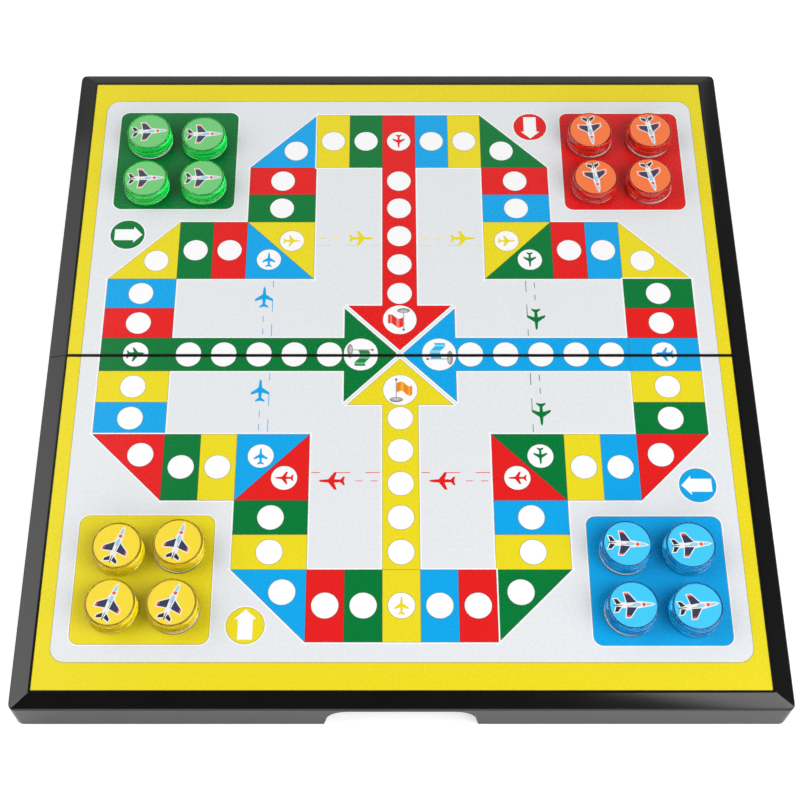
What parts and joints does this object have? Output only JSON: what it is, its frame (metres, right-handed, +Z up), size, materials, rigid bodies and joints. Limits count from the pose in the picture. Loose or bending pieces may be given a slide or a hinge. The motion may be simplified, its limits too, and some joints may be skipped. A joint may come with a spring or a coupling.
{
  "type": "folding ludo board box",
  "caption": "Folding box of two black plastic trays hinged at the seam, with a printed steel game board on top and magnetic disc tokens in four colours.",
  "frame": {"origin": "middle of the seam between the two halves, on the table under the open board", "axes": "+X along the seam to the right, +Y from the front half to the rear half, +Z up"},
  "size_m": [0.3204, 0.3293, 0.0295],
  "materials": {
    "black_plastic": "fine texture, satin",
    "printed_steel": "printed and varnished, satin gloss",
    "pin_steel": "drawn wire",
    "clear_green_plastic": "polished, translucent",
    "clear_red_plastic": "polished, translucent",
    "clear_yellow_plastic": "polished, translucent",
    "clear_blue_plastic": "polished, translucent",
    "green_label": "coated",
    "red_label": "coated",
    "yellow_label": "coated",
    "blue_label": "coated",
    "magnet_disc": "white faced ferrite"
  },
  "bodies": {
    "rear_half": {"rear_shell": "black_plastic", "rear_board_plate": "printed_steel", "hinge_pin_left": "pin_steel", "hinge_pin_right": "pin_steel"},
    "front_half": {"front_shell": "black_plastic", "front_board_plate": "printed_steel"},
    "green_token_1": {"green_token_1_case": "clear_green_plastic", "green_token_1_label": "green_label", "green_token_1_magnet": "magnet_disc"},
    "green_token_2": {"green_token_2_case": "clear_green_plastic", "green_token_2_label": "green_label", "green_token_2_magnet": "magnet_disc"},
    "green_token_3": {"green_token_3_case": "clear_green_plastic", "green_token_3_label": "green_label", "green_token_3_magnet": "magnet_disc"},
    "green_token_4": {"green_token_4_case": "clear_green_plastic", "green_token_4_label": "green_label", "green_token_4_magnet": "magnet_disc"},
    "red_token_1": {"red_token_1_case": "clear_red_plastic", "red_token_1_label": "red_label", "red_token_1_magnet": "magnet_disc"},
    "red_token_2": {"red_token_2_case": "clear_red_plastic", "red_token_2_label": "red_label", "red_token_2_magnet": "magnet_disc"},
    "red_token_3": {"red_token_3_case": "clear_red_plastic", "red_token_3_label": "red_label", "red_token_3_magnet": "magnet_disc"},
    "red_token_4": {"red_token_4_case": "clear_red_plastic", "red_token_4_label": "red_label", "red_token_4_magnet": "magnet_disc"},
    "yellow_token_1": {"yellow_token_1_case": "clear_yellow_plastic", "yellow_token_1_label": "yellow_label", "yellow_token_1_magnet": "magnet_disc"},
    "yellow_token_2": {"yellow_token_2_case": "clear_yellow_plastic", "yellow_token_2_label": "yellow_label", "yellow_token_2_magnet": "magnet_disc"},
    "yellow_token_3": {"yellow_token_3_case": "clear_yellow_plastic", "yellow_token_3_label": "yellow_label", "yellow_token_3_magnet": "magnet_disc"},
    "yellow_token_4": {"yellow_token_4_case": "clear_yellow_plastic", "yellow_token_4_label": "yellow_label", "yellow_token_4_magnet": "magnet_disc"},
    "blue_token_1": {"blue_token_1_case": "clear_blue_plastic", "blue_token_1_label": "blue_label", "blue_token_1_magnet": "magnet_disc"},
    "blue_token_2": {"blue_token_2_case": "clear_blue_plastic", "blue_token_2_label": "blue_label", "blue_token_2_magnet": "magnet_disc"},
    "blue_token_3": {"blue_token_3_case": "clear_blue_plastic", "blue_token_3_label": "blue_label", "blue_token_3_magnet": "magnet_disc"},
    "blue_token_4": {"blue_token_4_case": "clear_blue_plastic", "blue_token_4_label": "blue_label", "blue_token_4_magnet": "magnet_disc"}
  },
  "joints": [
    {"name": "fold", "type": "hinge", "parent": "rear_half", "child": "front_half", "pos_m": [0, 0, 0.0024], "axis": [1, 0, 0], "range_deg": [0, 180]},
    {"name": "green_token_1_lift", "type": "slide", "parent": "rear_half", "child": "green_token_1", "axis": [0, 0, 1], "range_m": [0, 0.03]},
    {"name": "green_token_2_lift", "type": "slide", "parent": "rear_half", "child": "green_token_2", "axis": [0, 0, 1], "range_m": [0, 0.03]},
    {"name": "green_token_3_lift", "type": "slide", "parent": "rear_half", "child": "green_token_3", "axis": [0, 0, 1], "range_m": [0, 0.03]},
    {"name": "green_token_4_lift", "type": "slide", "parent": "rear_half", "child": "green_token_4", "axis": [0, 0, 1], "range_m": [0, 0.03]},
    {"name": "red_token_1_lift", "type": "slide", "parent": "rear_half", "child": "red_token_1", "axis": [0, 0, 1], "range_m": [0, 0.03]},
    {"name": "red_token_2_lift", "type": "slide", "parent": "rear_half", "child": "red_token_2", "axis": [0, 0, 1], "range_m": [0, 0.03]},
    {"name": "red_token_3_lift", "type": "slide", "parent": "rear_half", "child": "red_token_3", "axis": [0, 0, 1], "range_m": [0, 0.03]},
    {"name": "red_token_4_lift", "type": "slide", "parent": "rear_half", "child": "red_token_4", "axis": [0, 0, 1], "range_m": [0, 0.03]},
    {"name": "yellow_token_1_lift", "type": "slide", "parent": "front_half", "child": "yellow_token_1", "axis": [0, 0, 1], "range_m": [0, 0.03]},
    {"name": "yellow_token_2_lift", "type": "slide", "parent": "front_half", "child": "yellow_token_2", "axis": [0, 0, 1], "range_m": [0, 0.03]},
    {"name": "yellow_token_3_lift", "type": "slide", "parent": "front_half", "child": "yellow_token_3", "axis": [0, 0, 1], "range_m": [0, 0.03]},
    {"name": "yellow_token_4_lift", "type": "slide", "parent": "front_half", "child": "yellow_token_4", "axis": [0, 0, 1], "range_m": [0, 0.03]},
    {"name": "blue_token_1_lift", "type": "slide", "parent": "front_half", "child": "blue_token_1", "axis": [0, 0, 1], "range_m": [0, 0.03]},
    {"name": "blue_token_2_lift", "type": "slide", "parent": "front_half", "child": "blue_token_2", "axis": [0, 0, 1], "range_m": [0, 0.03]},
    {"name": "blue_token_3_lift", "type": "slide", "parent": "front_half", "child": "blue_token_3", "axis": [0, 0, 1], "range_m": [0, 0.03]},
    {"name": "blue_token_4_lift", "type": "slide", "parent": "front_half", "child": "blue_token_4", "axis": [0, 0, 1], "range_m": [0, 0.03]}
  ]
}
